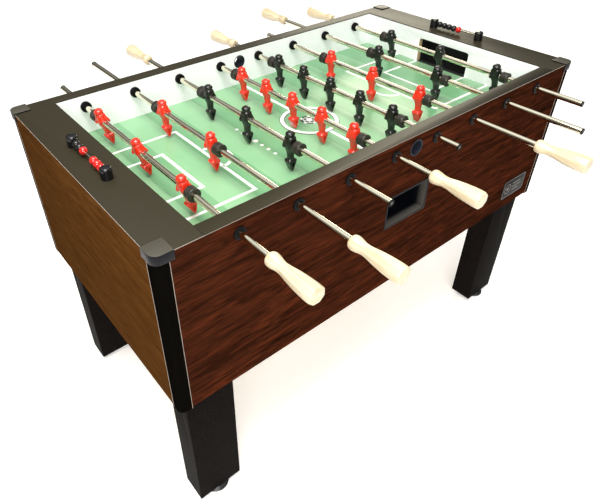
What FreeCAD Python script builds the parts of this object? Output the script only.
import FreeCAD, Part
import os
import re
import Sketcher
from FreeCAD import Placement, Rotation, Vector

# Foosball table. Frame: millimetres, +Z up, origin on the floor under the middle of the table.
# X runs along the table from the red goal (-X) to the black goal (+X).
# Y runs across it: the red team's handles stand out at -Y and the black team's at +Y.

DIMENSIONS = {
    # Cabinet
    "table_length": 1422.4,
    "table_width": 762.0,
    "rail_top": 940.0,
    "rail_thick": 3.0,
    "rail_core": 12.0,
    "end_rail_width": 106.6,
    "panel_thick": 25.4,
    "liner_thick": 12.7,
    "cabinet_bottom": 479.0,
    "base_rise": 6.0,
    "base_thick": 12.0,
    "goal_wall_thick": 18.0,
    "wall_bottom": 786.0,
    "cap_reach": 42.0,
    "cap_skin": 3.0,
    "cap_skirt": 20.0,
    "post_width": 31.0,
    "post_round": 17.0,
    "post_drop": 5.0,
    # Playing field and goals
    "field_drop": 78.0,
    "field_thick": 12.0,
    "cleat_size": 30.0,
    "goal_width": 200.0,
    "goal_height": 81.5,
    "goal_round": 8.0,
    # Legs and their levelling feet
    "leg_wide": 133.0,
    "leg_deep": 76.0,
    "leg_bottom": 15.0,
    "leg_overlap": 120.0,
    "bolt_radius": 5.0,
    "bolt_bite": 15.0,
    "bolt_head": 7.0,
    "bolt_hole_play": 0.3,
    "foot_radius": 38.0,
    "foot_neck": 26.0,
    "foot_inset": 28.0,
    "stem_radius": 5.0,
    "stem_length": 45.0,
    "stem_play": 0.06,
    "foot_travel": 20.0,
    # Rods, bearings and what rides on the rods
    "rod_pitch": 150.4,
    "rod_height": 906.5,
    "rod_radius": 7.94,
    "rod_play": 0.06,
    "flange_radius": 14.8,
    "flange_thick": 4.0,
    "sleeve_radius": 12.0,
    "nut_thick": 10.0,
    "bumper_radius": 17.0,
    "bumper_length": 21.5,
    "bumper_start": 14.5,
    "stop_gap": 0.5,
    "plain_gap": 6.0,
    "handle_gap": 37.0,
    "handle_length": 128.0,
    "handle_bore": 99.0,
    "end_plug_radius": 8.4,
    "end_plug_head": 2.5,
    "end_plug_stem": 5.0,
    "end_plug_depth": 14.0,
    # Playing figures, measured from the rod's axis
    "toe_reach": 74.0,
    "head_centre": 26.5,
    "head_radius": 12.0,
    "head_rise": 9.0,
    # Serving cups and ball return
    "serve_height": 903.0,
    "serve_bore": 18.8,
    "serve_sleeve": 20.8,
    "serve_flange": 22.0,
    "serve_lip": 1.0,
    "return_width": 158.0,
    "return_bottom": 690.0,
    "return_height": 95.5,
    "return_depth": 92.0,
    "return_wall": 3.0,
    "return_lip": 6.0,
    "return_flange": 1.0,
    "chute_width": 224.0,
    "chute_wall": 6.0,
    "tray_half": 75.0,
    # Scorers and name plate
    "scorer_half": 89.0,
    "scorer_post_radius": 13.5,
    "scorer_post_height": 28.0,
    "scorer_rod_radius": 2.0,
    "scorer_rod_rise": 14.0,
    "bead_radius": 9.6,
    "bead_length": 18.6,
    "bead_pitch": 19.0,
    "bead_play": 0.08,
    "plate_x": 576.0,
    "plate_z": 551.0,
    "plate_width": 125.0,
    "plate_height": 70.0,
    "plate_thick": 1.5,
}

# One entry for each rod, from -X to +X: team and role, number of figures, their spacing, which side
# the handle is on (-1 near, +1 far), how far the rod is pushed along Y and how far its toes swing
# towards +X, in degrees, as the table stands.
RODS = [
    {"name": "red_goalie", "figures": 3, "spacing": 212.0, "side": -1, "shift": 28.0, "lean": 13.0},
    {"name": "red_defence", "figures": 2, "spacing": 245.0, "side": -1, "shift": 57.0, "lean": 4.0},
    {"name": "black_attack", "figures": 3, "spacing": 184.0, "side": 1, "shift": 0.0, "lean": 2.0},
    {"name": "red_midfield", "figures": 5, "spacing": 120.0, "side": -1, "shift": -12.0, "lean": 5.0},
    {"name": "black_midfield", "figures": 5, "spacing": 120.0, "side": 1, "shift": -4.0, "lean": 4.0},
    {"name": "red_attack", "figures": 3, "spacing": 184.0, "side": -1, "shift": -28.5, "lean": 2.0},
    {"name": "black_defence", "figures": 2, "spacing": 245.0, "side": 1, "shift": -33.0, "lean": 8.0},
    {"name": "black_goalie", "figures": 3, "spacing": 212.0, "side": 1, "shift": -45.5, "lean": 12.0},
]

doc = FreeCAD.newDocument("foosball_table")
SUB_PARTS = []


# ---------------------------------------------------------------- sheet and helpers

def make_sheet():
    """Writes every driving dimension to the sheet, one row each, with its alias."""
    sheet = doc.addObject("Spreadsheet::Sheet", "Dims")
    cells = dict(DIMENSIONS)
    for rod in RODS:
        for key in ("figures", "spacing", "shift", "lean"):
            cells[rod["name"] + "_" + key] = rod[key]
    for row, (alias, value) in enumerate(cells.items(), start=1):
        sheet.set(f"A{row}", alias)
        sheet.set(f"B{row}", str(value))
        sheet.setAlias(f"B{row}", alias)
    doc.recompute()
    return cells


CELLS = make_sheet()


def linked(text):
    """Puts the sheet's name before each alias in an expression."""
    return re.sub(r"[a-z][a-z_]+", lambda word: "Dims." + word[0] if word[0] in CELLS else word[0], text)


def value(text):
    """Works out an expression now, for sketches and for shapes that are set by code."""
    return float(doc.getObject("Dims").evalExpression(linked(text)))


def bind(item, **properties):
    """Binds properties to expressions; x, y and z are the placement's base."""
    paths = {"x": "Placement.Base.x", "y": "Placement.Base.y", "z": "Placement.Base.z"}
    for key, text in properties.items():
        item.setExpression(paths.get(key, key), linked(str(text)))
    return item


def box(name, size, corner):
    """A board or block, by the expressions of its three sizes and its lowest corner."""
    item = doc.addObject("Part::Box", name)
    bind(item, Length=size[0], Width=size[1], Height=size[2])
    return bind(item, x=corner[0], y=corner[1], z=corner[2])


AXES = {"X": Rotation(Vector(0, 1, 0), 90), "Y": Rotation(Vector(1, 0, 0), -90), "Z": Rotation()}


def cylinder(name, radius, length, start, axis="Z"):
    """A round bar that runs from start along +axis."""
    item = doc.addObject("Part::Cylinder", name)
    item.Placement = Placement(Vector(), AXES[axis])
    bind(item, Radius=radius, Height=length)
    return bind(item, x=start[0], y=start[1], z=start[2])


def fuse(name, pieces):
    item = doc.addObject("Part::MultiFuse", name)
    item.Shapes = pieces
    return item


def cut(name, base, tools):
    item = doc.addObject("Part::Cut", name)
    item.Base = base
    item.Tool = tools[0] if len(tools) == 1 else fuse(name + "_tools", tools)
    return item


def common(name, first, second):
    item = doc.addObject("Part::Common", name)
    item.Base = first
    item.Tool = second
    return item


def mirrored(source, axis):
    """The same piece on the other side of the table's middle plane."""
    item = doc.addObject("Part::Mirroring", source.Name + "_" + axis.lower())
    item.Source = source
    item.Normal = {"X": Vector(1, 0, 0), "Y": Vector(0, 1, 0)}[axis]
    return item


def pair(source, axis):
    return [source, mirrored(source, axis)]


def four(source):
    """The piece in all four corners."""
    return pair(source, "X") + pair(mirrored(source, "Y"), "X")


def rounded(name, base, radius, chosen):
    """Rounds the straight edges of base that chosen(middle, direction) picks."""
    doc.recompute()
    edges = []
    for number, edge in enumerate(base.Shape.Edges, start=1):
        direction = edge.tangentAt(edge.FirstParameter)
        if chosen(edge.CenterOfMass, direction):
            edges.append((number, radius, radius))
    item = doc.addObject("Part::Fillet", name)
    item.Base = base
    item.Edges = edges
    return item


SKETCH_PLANES = {"XZ": Rotation(Vector(1, 0, 0), 90), "YZ": Rotation(Vector(1, 1, 1), 120)}


def fill_sketch(sketch, points):
    """Draws a closed outline of straight lines through points, each held by two driven distances."""
    spots = [Vector(value(a), value(b), 0) for a, b in points]
    count = len(spots)
    for i in range(count):
        sketch.addGeometry(Part.LineSegment(spots[i], spots[(i + 1) % count]))
    for i in range(count):
        sketch.addConstraint(Sketcher.Constraint("Coincident", i, 2, (i + 1) % count, 1))
    for i in range(count):
        for kind, number, text in zip(("DistanceX", "DistanceY"), spots[i], points[i]):
            index = sketch.addConstraint(Sketcher.Constraint(kind, -1, 1, i, 1, number))
            sketch.setExpression(f"Constraints[{index}]", linked(text))


def slab(name, plane, points, start, thickness):
    """A board with the given outline, from start along the plane's normal: +X for YZ, -Y for XZ."""
    sketch = doc.addObject("Sketcher::SketchObject", name + "_outline")
    sketch.Placement = Placement(Vector(), SKETCH_PLANES[plane])
    fill_sketch(sketch, points)
    bind(sketch, **{"x" if plane == "YZ" else "y": start})
    item = doc.addObject("Part::Extrusion", name)
    item.Base = sketch
    item.DirMode = "Normal"
    item.Solid = True
    return bind(item, LengthFwd=thickness)


def lathe(name, plane, points):
    """A turned piece: points are (radius, distance along the second axis of the plane)."""
    body = doc.addObject("PartDesign::Body", name)
    sketch = body.newObject("Sketcher::SketchObject", name + "_profile")
    origin = next(o for o in body.Origin.OriginFeatures if o.Role == plane + "_Plane")
    sketch.AttachmentSupport = [(origin, "")]
    sketch.MapMode = "FlatFace"
    fill_sketch(sketch, points)
    turned = body.newObject("PartDesign::Revolution", name + "_turned")
    turned.Profile = sketch
    turned.ReferenceAxis = (sketch, ["V_Axis"])
    turned.Angle = 360
    return body


def sub_part(item, label):
    """Registers an object as one of the table's named pieces."""
    item.Label = label
    SUB_PARTS.append(item)
    return item


def group(label, pieces):
    """Separate solids of one kind that share a name."""
    item = doc.addObject("Part::Compound", label)
    item.Links = pieces
    return sub_part(item, label)


def repeated(label, source, placements, base=Placement()):
    """Copies of one finished solid at each placement, then the whole set moved by base."""
    doc.recompute()
    shapes = []
    for placement in placements:
        shape = source.Shape.copy()
        shape.Placement = placement.multiply(shape.Placement)
        shapes.append(shape)
    item = doc.addObject("Part::Feature", label)
    item.Shape = Part.makeCompound(shapes)
    item.Placement = base
    return item


# ---------------------------------------------------------------- cabinet

def rod_x(index):
    """Expression of a rod's place along the table."""
    return f"({index} - 3.5) * rod_pitch"


def wall_holes(name, radius, start, length):
    """The eight drilled holes of the rods and the serving cup's hole, across one long wall."""
    holes = []
    for index in range(len(RODS)):
        spot = (rod_x(index), start, "rod_height")
        holes.append(cylinder(f"{name}_rod_hole_{index}", radius, length, spot, "Y"))
    spot = ("0", start, "serve_height")
    holes.append(cylinder(name + "_serve_hole", "serve_sleeve + 0.1", length, spot, "Y"))
    return holes


def side_panels():
    size = ("table_length - 2 * post_width", "panel_thick", "rail_top - rail_thick - cabinet_bottom")
    corner = ("post_width - table_length / 2", "-table_width / 2", "cabinet_bottom")
    board = box("near_board", size, corner)
    holes = wall_holes("panel", "sleeve_radius + 0.05", "-table_width / 2 - 1", "panel_thick + 2")
    window = box(
        "return_window",
        ("return_width", "panel_thick + 2", "return_height"),
        ("-return_width / 2", "-table_width / 2 - 1", "return_bottom"),
    )
    far_board = mirrored(cut("far_board_source", board, holes + panel_inserts("Y")), "Y")
    near = cut("near_panel", board, holes + [window] + panel_inserts("Y", "near"))
    group("side_panels", [near, far_board])


def end_panels():
    size = ("panel_thick", "table_width - 2 * post_width", "rail_top - rail_thick - cabinet_bottom")
    corner = ("table_length / 2 - panel_thick", "post_width - table_width / 2", "cabinet_bottom")
    panel = cut("end_panel", box("end_board", size, corner), panel_inserts("X"))
    group("end_panels", pair(panel, "X"))


def inner_walls():
    size = (
        "table_length - 2 * end_rail_width + 2 * goal_wall_thick",
        "liner_thick",
        "rail_top - rail_thick - wall_bottom",
    )
    corner = (
        "end_rail_width - goal_wall_thick - table_length / 2",
        "panel_thick - table_width / 2",
        "wall_bottom",
    )
    start = "panel_thick - table_width / 2 - 1"
    holes = wall_holes("liner", "sleeve_radius + 0.05", start, "liner_thick + 2")
    wall = cut("near_inner_wall", box("liner_board", size, corner), holes)
    group("inner_walls", pair(wall, "Y"))


def goal_walls():
    inner = "table_length / 2 - end_rail_width"
    half = "table_width / 2 - panel_thick - liner_thick"
    size = ("goal_wall_thick", f"2 * ({half})", "rail_top - rail_thick - wall_bottom")
    board = box("goal_board", size, (inner, f"-({half})", "wall_bottom"))
    opening = box(
        "goal_opening_block",
        ("goal_wall_thick + 2", "goal_width", "goal_height"),
        (inner + " - 1", "-goal_width / 2", "rod_height - field_drop"),
    )
    top = value("rod_height - field_drop + goal_height")
    opening = rounded(
        "goal_opening",
        opening,
        value("goal_round"),
        lambda middle, way: abs(way.x) > 0.9 and middle.z > top - 1,
    )
    slot_top = "rod_height - field_drop - field_thick"
    slot = box(
        "chute_slot",
        ("goal_wall_thick + 2", "chute_width + 2", slot_top + " - wall_bottom + 1"),
        (inner + " - 1", "-chute_width / 2 - 1", "wall_bottom - 1"),
    )
    wall = cut("goal_wall", board, [opening, slot])
    group("goal_walls", pair(wall, "X"))


def playing_field():
    half = "(table_width / 2 - panel_thick - liner_thick)"
    length = "table_length - 2 * end_rail_width"
    field = box(
        "playfield",
        (length, f"2 * {half}", "field_thick"),
        (f"-({length}) / 2", f"-{half}", "rod_height - field_drop - field_thick"),
    )
    sub_part(field, "playfield")
    rise = "rod_height - field_drop - field_thick - cleat_size"
    corner = (f"-({length}) / 2", f"-{half}", rise)
    long_cleat = box("long_cleat", (length, "cleat_size", "cleat_size"), corner)
    short_length = f"{half} - cleat_size - chute_width / 2 - 4"
    short_cleat = box(
        "short_cleat",
        ("cleat_size", short_length, "cleat_size"),
        (f"({length}) / 2 - cleat_size", f"-{half} + cleat_size", rise),
    )
    group("playfield_cleats", pair(long_cleat, "Y") + four(short_cleat))


def top_rails():
    """Thin facings on the walls' top edges. An end rail has a thick core over the goal's ball drop."""
    rise = "rail_top - rail_thick"
    end_x = "table_length / 2 - end_rail_width"
    corner = (end_x, "-table_width / 2", rise)
    skin = box("end_rail_block", ("end_rail_width", "table_width", "rail_thick"), corner)
    outer = value("table_length / 2")
    skin = rounded(
        "end_rail_skin",
        skin,
        value("post_round"),
        lambda middle, way: abs(way.z) > 0.9 and middle.x > outer - 1,
    )
    core_size = (
        "end_rail_width - panel_thick - goal_wall_thick",
        "table_width - 2 * panel_thick",
        "rail_core",
    )
    core_corner = (
        end_x + " + goal_wall_thick",
        "panel_thick - table_width / 2",
        rise + " - rail_core",
    )
    end_rail = fuse("end_rail", [skin, box("end_rail_core", core_size, core_corner)])
    side_size = (f"2 * ({end_x})", "panel_thick + liner_thick", "rail_thick")
    side_rail = box("side_rail", side_size, (f"-({end_x})", "-table_width / 2", rise))
    group("top_rails", pair(end_rail, "X") + pair(side_rail, "Y"))


def corner_posts():
    """Round-cornered mouldings that join the panels and fill their corners."""
    height = "rail_top - rail_thick - cabinet_bottom + post_drop"
    foot = "cabinet_bottom - post_drop"
    corner = ("table_length / 2 - post_width", "table_width / 2 - post_width", foot)
    outer_x = value("table_length / 2")
    outer_y = value("table_width / 2")
    block = rounded(
        "post_block",
        box("post_blank", ("post_width", "post_width", height), corner),
        value("post_round"),
        lambda middle, way: abs(way.z) > 0.9 and middle.x > outer_x - 1 and middle.y > outer_y - 1,
    )
    inside = box(
        "post_inside",
        ("panel_thick", "panel_thick", height + " + 2"),
        ("table_length / 2 - 2 * panel_thick", "table_width / 2 - 2 * panel_thick", foot + " - 1"),
    )
    group("corner_posts", four(cut("corner_post", block, [inside])))


def corner_caps():
    """Moulded caps that sit over the rails' corners with a short skirt outside."""
    middle_y = value("table_width / 2 - cap_reach / 2")
    outer_x = value("table_length / 2")
    solids = []
    for name, grow, height, drop in (
        ("cap_outside", "cap_skin", "cap_skirt + cap_skin", "cap_skirt"),
        ("cap_inside", "0", "cap_skirt", "cap_skirt"),
    ):
        reach = "cap_reach" if name == "cap_outside" else "cap_reach + 10"
        corner = (
            f"table_length / 2 - ({reach})",
            f"table_width / 2 - ({reach})",
            f"rail_top - {drop}",
        )
        block = box(name + "_block", (f"{reach} + {grow}", f"{reach} + {grow}", height), corner)
        radius = value(f"post_round + {grow}")
        solids.append(
            rounded(
                name,
                block,
                radius,
                lambda middle, way: abs(way.z) > 0.9 and middle.x > outer_x - 1 and middle.y > middle_y,
            )
        )
    cap = cut("corner_cap", solids[0], [solids[1]])
    group("corner_caps", four(cap))


def base_panel():
    size = (
        "table_length - 2 * panel_thick",
        "table_width - 2 * panel_thick",
        "base_thick",
    )
    height = "cabinet_bottom + base_rise"
    corner = ("panel_thick - table_length / 2", "panel_thick - table_width / 2", height)
    board = box("base_board", size, corner)
    notch = box(
        "leg_notch",
        ("leg_wide + 2", "leg_deep + 2", "base_thick + 2"),
        (
            "table_length / 2 - panel_thick - leg_wide - 1",
            "table_width / 2 - panel_thick - leg_deep - 1",
            "cabinet_bottom + base_rise - 1",
        ),
    )
    sub_part(cut("base_panel", board, four(notch)), "base_panel")


# ---------------------------------------------------------------- legs

BOLT_ROWS = {"X": ("35", "85"), "Y": ("50", "100")}


def bolt_line(axis, row):
    """Start of a shank at the +X +Y leg: through the leg's middle, row above the panel's foot."""
    middle_x = "table_length / 2 - panel_thick - leg_wide / 2"
    middle_y = "table_width / 2 - panel_thick - leg_deep / 2"
    height = f"cabinet_bottom + {row}"
    if axis == "X":
        return ("table_length / 2 - panel_thick - leg_wide", middle_y, height)
    return (middle_x, "table_width / 2 - panel_thick - leg_deep", height)


LEG_SIDES = {"X": "leg_wide", "Y": "leg_deep"}


def bolt_holes(name, axis, play):
    holes = []
    for row in BOLT_ROWS[axis]:
        start = bolt_line(axis, row)
        length = f"{LEG_SIDES[axis]} + bolt_bite + 0.5"
        label = f"{name}_{axis.lower()}{row}"
        holes.append(cylinder(label, f"bolt_radius + {play}", length, start, axis))
    return holes


def panel_inserts(axis, name="far"):
    """Blind holes in a panel's inner face for the leg bolts' ends."""
    holes = []
    for hole in bolt_holes(f"insert_{name}", axis, "0.05"):
        if axis == "X":
            holes += pair(hole, "Y")
        else:
            holes += pair(mirrored(hole, "Y"), "X")
    return holes


FOOT_SPOT = (
    "table_length / 2 - panel_thick - leg_wide / 2",
    "table_width / 2 - panel_thick - foot_inset",
)


def legs():
    corner = (
        "table_length / 2 - panel_thick - leg_wide",
        "table_width / 2 - panel_thick - leg_deep",
        "leg_bottom",
    )
    height = "cabinet_bottom + leg_overlap - leg_bottom"
    block = box("leg_block", ("leg_wide", "leg_deep", height), corner)
    under = (*FOOT_SPOT, "leg_bottom - 1")
    socket = cylinder("leveller_socket", "stem_radius + stem_play", "stem_length + 6", under)
    holes = bolt_holes("leg_hole", "X", "bolt_hole_play")
    holes += bolt_holes("leg_hole", "Y", "bolt_hole_play")
    group("legs", four(cut("leg", block, holes + [socket])))


def leg_bolts():
    bolts = []
    for axis in ("X", "Y"):
        for row in BOLT_ROWS[axis]:
            start = bolt_line(axis, row)
            name = f"bolt_{axis.lower()}{row}"
            length = f"{LEG_SIDES[axis]} + bolt_bite"
            shank = cylinder(name + "_shank", "bolt_radius", length, start, axis)
            head = doc.addObject("Part::Prism", name + "_head")
            head.Polygon = 6
            head.Placement = Placement(Vector(), AXES[axis])
            spots = list(start)
            spots[0 if axis == "X" else 1] += " - bolt_head"
            bind(head, Circumradius="bolt_radius * 1.9", Height="bolt_head")
            bind(head, x=spots[0], y=spots[1], z=spots[2])
            bolts.append(fuse(name, [shank, head]))
    corners = []
    for bolt in bolts:
        corners += four(bolt)
    group("leg_bolts", corners)


def levellers():
    """Screw feet under the legs, each with a domed pad and a stem inside its leg."""
    profile = [
        ("0", "0"),
        ("foot_radius - 3", "0"),
        ("foot_radius", "3"),
        ("foot_radius", "7"),
        ("foot_neck", "leg_bottom"),
        ("stem_radius", "leg_bottom"),
        ("stem_radius", "leg_bottom + stem_length"),
        ("0", "leg_bottom + stem_length"),
    ]
    for sign_x, side_x in ((-1, "left"), (1, "right")):
        for sign_y, side_y in ((-1, "near"), (1, "far")):
            label = f"leveller_{side_x}_{side_y}"
            foot = sub_part(lathe(label, "XZ", profile), label)
            bind(foot, x=f"{sign_x} * ({FOOT_SPOT[0]})", y=f"{sign_y} * ({FOOT_SPOT[1]})")


# ---------------------------------------------------------------- bearings, cups and chutes

def placements_at_rods(y, z):
    return [Placement(Vector(value(rod_x(i)), y, z), Rotation()) for i in range(len(RODS))]


def rod_bearings():
    """Flanged bushes pushed through from outside, each held by a ring nut inside."""
    bore = "rod_radius + rod_play"
    reach = "flange_thick + panel_thick + liner_thick + nut_thick"
    bush = lathe(
        "bush",
        "XY",
        [
            (bore, "0"),
            ("flange_radius", "0"),
            ("flange_radius", "flange_thick"),
            ("sleeve_radius", "flange_thick"),
            ("sleeve_radius", reach),
            (bore, reach),
        ],
    )
    nut = lathe(
        "ring_nut",
        "XY",
        [
            ("sleeve_radius + 0.05", f"{reach} - nut_thick"),
            ("flange_radius", f"{reach} - nut_thick"),
            ("flange_radius", reach),
            ("sleeve_radius + 0.05", reach),
        ],
    )
    spots = placements_at_rods(value("-table_width / 2 - flange_thick"), value("rod_height"))
    near = [repeated("near_bushes", bush, spots), repeated("near_ring_nuts", nut, spots)]
    far = [mirrored(piece, "Y") for piece in near]
    group("rod_bearings", near + far)


def serving_cups():
    depth = "serve_lip + panel_thick + liner_thick + serve_lip"
    cup = lathe(
        "serving_cup",
        "XY",
        [
            ("serve_bore", "0"),
            ("serve_flange", "0"),
            ("serve_flange", "serve_lip"),
            ("serve_sleeve", "serve_lip"),
            ("serve_sleeve", depth),
            ("serve_bore", depth),
        ],
    )
    bind(cup, y="-table_width / 2 - serve_lip", z="serve_height")
    group("serving_cups", pair(cup, "Y"))


def ball_return_cup():
    """Moulded bin set into the near panel: open in front, open at the back where the tray ends."""
    front = "-table_width / 2"
    inner_width = "return_width - 2 * return_wall"
    shell = box(
        "cup_shell",
        ("return_width - 0.4", "return_depth", "return_height + return_lip - 0.4"),
        ("-return_width / 2 + 0.2", front, "return_bottom - return_lip + 0.2"),
    )
    below = box(
        "cup_below_window",
        ("return_width + 2", "panel_thick + 1", "return_lip + 1"),
        ("-return_width / 2 - 1", front + " - 1", "return_bottom - return_lip - 1"),
    )
    flange = box(
        "cup_flange",
        ("return_width + 2 * return_flange", "2", "return_height + 2 * return_flange"),
        ("-return_width / 2 - return_flange", front + " - 2", "return_bottom - return_flange"),
    )
    mouth = box(
        "cup_mouth",
        (inner_width, "return_depth + 4", "return_height - 2 * return_wall"),
        (f"-({inner_width}) / 2", front + " - 3", "return_bottom + return_wall"),
    )
    well = box(
        "cup_well",
        (inner_width, "return_depth - panel_thick - 2 * return_wall - 1", "return_height / 2"),
        (
            f"-({inner_width}) / 2",
            f"{front} + panel_thick + return_wall + 1",
            "return_bottom - return_lip + return_wall",
        ),
    )
    body = fuse("cup_body", [cut("cup_block", shell, [below]), flange])
    sub_part(cut("ball_return_cup", body, [mouth, well]), "ball_return_cup")


def return_chutes():
    """Sloping chutes from behind each goal to a cross tray that feeds the ball return cup."""
    outer = "table_length / 2 - panel_thick - 1"
    ceiling = "rod_height - field_drop - field_thick - 0.5"
    box_face = "table_length / 2 - end_rail_width + goal_wall_thick + 0.5"
    box_top = "rail_top - rail_thick - rail_core - 3"
    low, high = "wall_bottom - 56", "wall_bottom - 3"
    floor = slab(
        "chute_floor",
        "XZ",
        [
            ("tray_half", low + " - chute_wall"),
            (outer, high + " - chute_wall"),
            (outer, high),
            ("tray_half", low),
        ],
        "chute_width / 2",
        "chute_width",
    )
    cheek = slab(
        "chute_cheek",
        "XZ",
        [
            ("tray_half", low + " - chute_wall"),
            (outer, high + " - chute_wall"),
            (outer, box_top),
            (box_face, box_top),
            (box_face, ceiling),
            ("tray_half", ceiling),
        ],
        "chute_width / 2",
        "chute_wall",
    )
    back = box(
        "chute_back",
        ("chute_wall", "chute_width", f"{box_top} - ({high}) + chute_wall"),
        (f"{outer} - chute_wall", "-chute_width / 2", f"{high} - chute_wall"),
    )
    chute = fuse("right_chute", [floor, cheek, mirrored(cheek, "Y"), back])
    tray_end = "return_depth - table_width / 2 + 0.5"
    tray_floor = slab(
        "tray_floor",
        "YZ",
        [
            (tray_end, "return_bottom + return_wall"),
            ("chute_width / 2", f"{low} - chute_wall - 6"),
            ("chute_width / 2", low + " - 6"),
            (tray_end, "return_bottom + return_wall + chute_wall"),
        ],
        "-tray_half + 0.5",
        "2 * tray_half - 1",
    )
    tray_back = box(
        "tray_back",
        ("2 * tray_half - 1", "chute_wall", f"{ceiling} - ({low}) + chute_wall + 6"),
        ("-tray_half + 0.5", "chute_width / 2 - chute_wall", f"{low} - chute_wall - 6"),
    )
    tray_cheek = box(
        "tray_cheek",
        ("chute_wall", f"-chute_width / 2 - 1 - ({tray_end})", "70"),
        ("tray_half - 0.5 - chute_wall", tray_end, "return_bottom + return_wall"),
    )
    tray = fuse("cross_tray", [tray_floor, tray_back] + pair(tray_cheek, "X"))
    group("return_chutes", pair(chute, "X") + [tray])


def name_plate():
    """A plain raised plate with rounded corners and no lettering."""
    plate = box(
        "plate_block",
        ("plate_width", "plate_thick", "plate_height"),
        ("plate_x - plate_width / 2", "-table_width / 2 - plate_thick", "plate_z - plate_height / 2"),
    )
    plate = rounded("name_plate", plate, 10.0, lambda middle, way: abs(way.y) > 0.9)
    sub_part(plate, "name_plate")


# ---------------------------------------------------------------- scorers

def scorer_frames():
    centre_x = "table_length / 2 - end_rail_width / 2"
    foot = (centre_x, "scorer_half", "rail_top")
    post = cylinder("scorer_post_block", "scorer_post_radius", "scorer_post_height", foot)
    top = value("rail_top + scorer_post_height")
    post = rounded("scorer_post_round", post, 4.0, lambda middle, way: middle.z > top - 1)
    rod_z = "rail_top + scorer_rod_rise"
    start = (centre_x, "-scorer_half", rod_z)
    hole = cylinder("scorer_hole", "scorer_rod_radius + 0.05", "2 * scorer_half", start, "Y")
    rod = cylinder("scorer_rod", "scorer_rod_radius", "2 * scorer_half", start, "Y")
    group("scorer_posts", four(cut("scorer_post", post, [hole])))
    group("scorer_rods", pair(rod, "X"))


# Bead groups: label, end of the table, place of the first bead counted in beads from the far post,
# and number of beads.
BEAD_GROUPS = [
    ("black_beads_left", -1, 0, 2),
    ("red_bead_left", -1, 2, 1),
    ("black_beads_right", 1, 0, 4),
    ("red_bead_right", 1, 4, 1),
]
NEAR_BEADS_LEFT = 3


def scorer_beads():
    blank_start = ("0", "-bead_length / 2", "0")
    blank = cylinder("bead_blank", "bead_radius", "bead_length", blank_start, "Y")
    blank = rounded("bead_round", blank, 6.0, lambda middle, way: abs(way.y) < 0.1)
    bore_start = ("0", "-bead_length / 2 - 1", "0")
    bore = cylinder("bead_bore", "scorer_rod_radius + bead_play", "bead_length + 2", bore_start, "Y")
    bead = cut("bead", blank, [bore])
    pitch = value("bead_pitch")
    first = value("scorer_half - scorer_post_radius - 0.5 - bead_pitch / 2")
    centre_x = value("table_length / 2 - end_rail_width / 2")
    centre_z = value("rail_top + scorer_rod_rise")

    def strung(label, end, places):
        spots = [Placement(Vector(0, y, 0), Rotation()) for y in places]
        base = Placement(Vector(end * centre_x, 0, centre_z), Rotation())
        sub_part(repeated(label, bead, spots, base), label)

    for label, end, start, count in BEAD_GROUPS:
        strung(label, end, [first - (start + i) * pitch for i in range(count)])
    strung("red_beads_left", -1, [i * pitch - first for i in range(NEAR_BEADS_LEFT)])


# ---------------------------------------------------------------- rods and figures

def travel(rod):
    """How far a rod slides each way from the middle before a bumper meets its bearing."""
    name = rod["name"]
    inside = "table_width / 2 - panel_thick - liner_thick - nut_thick - stop_gap"
    return f"({inside} - bumper_start - bumper_length - ({name}_figures - 1) / 2 * {name}_spacing)"


def figure():
    """One playing figure hanging from the rod's axis, moulded in one piece with its hub."""
    half_front = [
        ("5.5", "20"), ("11", "18.5"), ("14.2", "13"), ("14.2", "-5"), ("12", "-13"), ("8.5", "-23"),
        ("8.5", "-38"), ("12", "-43"), ("12", "-47"), ("8.5", "-toe_reach"),
    ]
    half_side = [
        ("5.5", "20"), ("10.5", "16"), ("14", "7"), ("14", "-1"), ("12", "-8"), ("8.5", "-23"),
        ("8", "-38"), ("13", "-43"), ("13", "-46"), ("2.5", "-toe_reach"),
    ]
    sides = []
    views = (("front", "YZ", half_front, "-25"), ("side", "XZ", half_side, "25"))
    for name, plane, half, start in views:
        points = half + [("-" + a if a != "0" else a, b) for a, b in reversed(half)]
        sides.append(slab("figure_" + name, plane, points, start, "50"))
    trunk = common("figure_trunk", sides[0], sides[1])
    head = doc.addObject("Part::Ellipsoid", "figure_head")
    bind(head, Radius1="head_rise", Radius2="head_radius", Radius3="head_radius", z="head_centre")
    solid = fuse("figure_solid", [trunk, head])
    bore = cylinder("figure_bore", "rod_radius + rod_play", "60", ("0", "-30", "0"), "Y")
    return cut("figure", solid, [bore])


def rod_frame(index):
    """Where a rod's own frame stands: on its axis, pushed and turned as the table rests."""
    name = RODS[index]["name"]
    centre = Vector(value(rod_x(index)), value(name + "_shift"), value("rod_height"))
    return Placement(centre, Rotation(Vector(0, 1, 0), -value(name + "_lean")))


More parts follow.
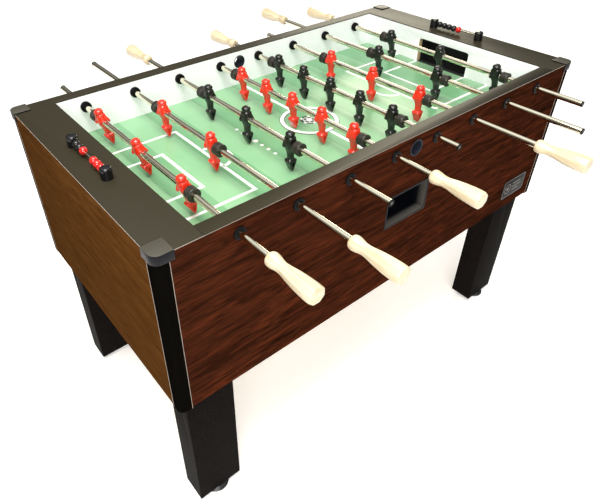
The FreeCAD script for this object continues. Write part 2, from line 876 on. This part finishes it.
def rod_bar(index):
    """Steel rod with a plastic plug in its plain end; the other end runs into the handle."""
    rod = RODS[index]
    name, side = rod["name"], rod["side"]
    plain = f"(table_width / 2 + {travel(rod)} + plain_gap)"
    gripped = f"(table_width / 2 + {travel(rod)} + handle_gap + handle_bore - 2)"
    low, high = (gripped, plain) if side < 0 else (plain, gripped)
    spot = (rod_x(index), f"{name}_shift - {low}", "rod_height")
    bar = cylinder(name + "_bar", "rod_radius", f"{low} + {high}", spot, "Y")
    tip = f"{name}_shift - ({side}) * {plain}"
    head_start, stem_start = tip, f"{tip} - end_plug_depth"
    if side > 0:
        head_start, stem_start = f"{tip} - end_plug_head", tip
    head_spot = (rod_x(index), head_start, "rod_height")
    stem_spot = (rod_x(index), stem_start, "rod_height")
    head = cylinder(name + "_plug_head", "end_plug_radius", "end_plug_head", head_spot, "Y")
    stem = cylinder(name + "_plug_stem", "end_plug_stem", "end_plug_depth", stem_spot, "Y")
    hole = cylinder(name + "_plug_hole", "end_plug_stem + 0.02", "end_plug_depth", stem_spot, "Y")
    bored = cut(name + "_bored_bar", bar, [hole])
    group(name + "_rod", [bored, fuse(name + "_plug", [head, stem])])


def rod_handle(index):
    """Turned wooden handle with a bulbed collar, a waist and a flared grip."""
    rod = RODS[index]
    bore = "rod_radius + 0.03"
    profile = [
        (bore, "0"), ("12.6", "0"), ("15.4", "3.5"), ("16.2", "10"), ("15.6", "18"), ("13.6", "27"),
        ("12.8", "36"), ("13.8", "48"), ("16.6", "66"), ("19", "88"), ("20.3", "112"),
        ("19.8", "handle_length - 4"), ("17.5", "handle_length"), ("0", "handle_length"),
        ("0", "handle_bore"), (bore, "handle_bore"),
    ]
    name = rod["name"] + "_handle"
    grip = sub_part(lathe(name, "XY", profile), name)
    grip.Placement = Placement(Vector(), Rotation(Vector(0, 0, 1), 0 if rod["side"] > 0 else 180))
    start = f"(table_width / 2 + {travel(rod)} + handle_gap)"
    bind(grip, x=rod_x(index), y=f"{rod['name']}_shift + ({rod['side']}) * {start}", z="rod_height")


def rod_bumpers(index, blank):
    """Rubber bumpers that ride outboard of the end figures and stop the rod at the walls."""
    rod = RODS[index]
    outer = value(f"({rod['name']}_figures - 1) / 2 * {rod['name']}_spacing + bumper_start")
    spots = [
        Placement(Vector(0, outer, 0), Rotation()),
        Placement(Vector(0, -outer, 0), Rotation(Vector(0, 0, 1), 180)),
    ]
    name = rod["name"] + "_bumpers"
    sub_part(repeated(name, blank, spots, rod_frame(index)), name)


def rod_figures(index, man):
    rod = RODS[index]
    middle = (rod["figures"] - 1) / 2
    spots = [
        Placement(Vector(0, (i - middle) * rod["spacing"], 0), Rotation()) for i in range(rod["figures"])
    ]
    name = rod["name"] + "_figures"
    sub_part(repeated(name, man, spots, rod_frame(index)), name)


def rods():
    man = figure()
    blank = lathe(
        "bumper",
        "XY",
        [
            ("rod_radius + rod_play", "0"),
            ("bumper_radius", "0"),
            ("bumper_radius", "bumper_length"),
            ("rod_radius + rod_play", "bumper_length"),
        ],
    )
    for index in range(len(RODS)):
        rod_bar(index)
        rod_handle(index)
        rod_bumpers(index, blank)
        rod_figures(index, man)


# ---------------------------------------------------------------- build, check and write

def build():
    side_panels()
    end_panels()
    inner_walls()
    goal_walls()
    playing_field()
    top_rails()
    corner_posts()
    corner_caps()
    base_panel()
    legs()
    leg_bolts()
    levellers()
    rod_bearings()
    serving_cups()
    ball_return_cup()
    return_chutes()
    name_plate()
    scorer_frames()
    scorer_beads()
    rods()
    doc.recompute()


def check():
    for item in doc.Objects:
        faults = [state for state in item.State if state in ("Invalid", "Error")]
        if faults:
            raise RuntimeError(f"{item.Label} failed: {faults}")
    for item in SUB_PARTS:
        if item.Shape.isNull() or not item.Shape.isValid():
            raise RuntimeError(f"{item.Label} has no valid shape")


def write():
    os.makedirs("parts", exist_ok=True)
    for item in SUB_PARTS:
        item.Shape.exportStep(f"parts/{item.Label}.step")
    print(len(SUB_PARTS), "sub-parts written")


build()
check()
write()
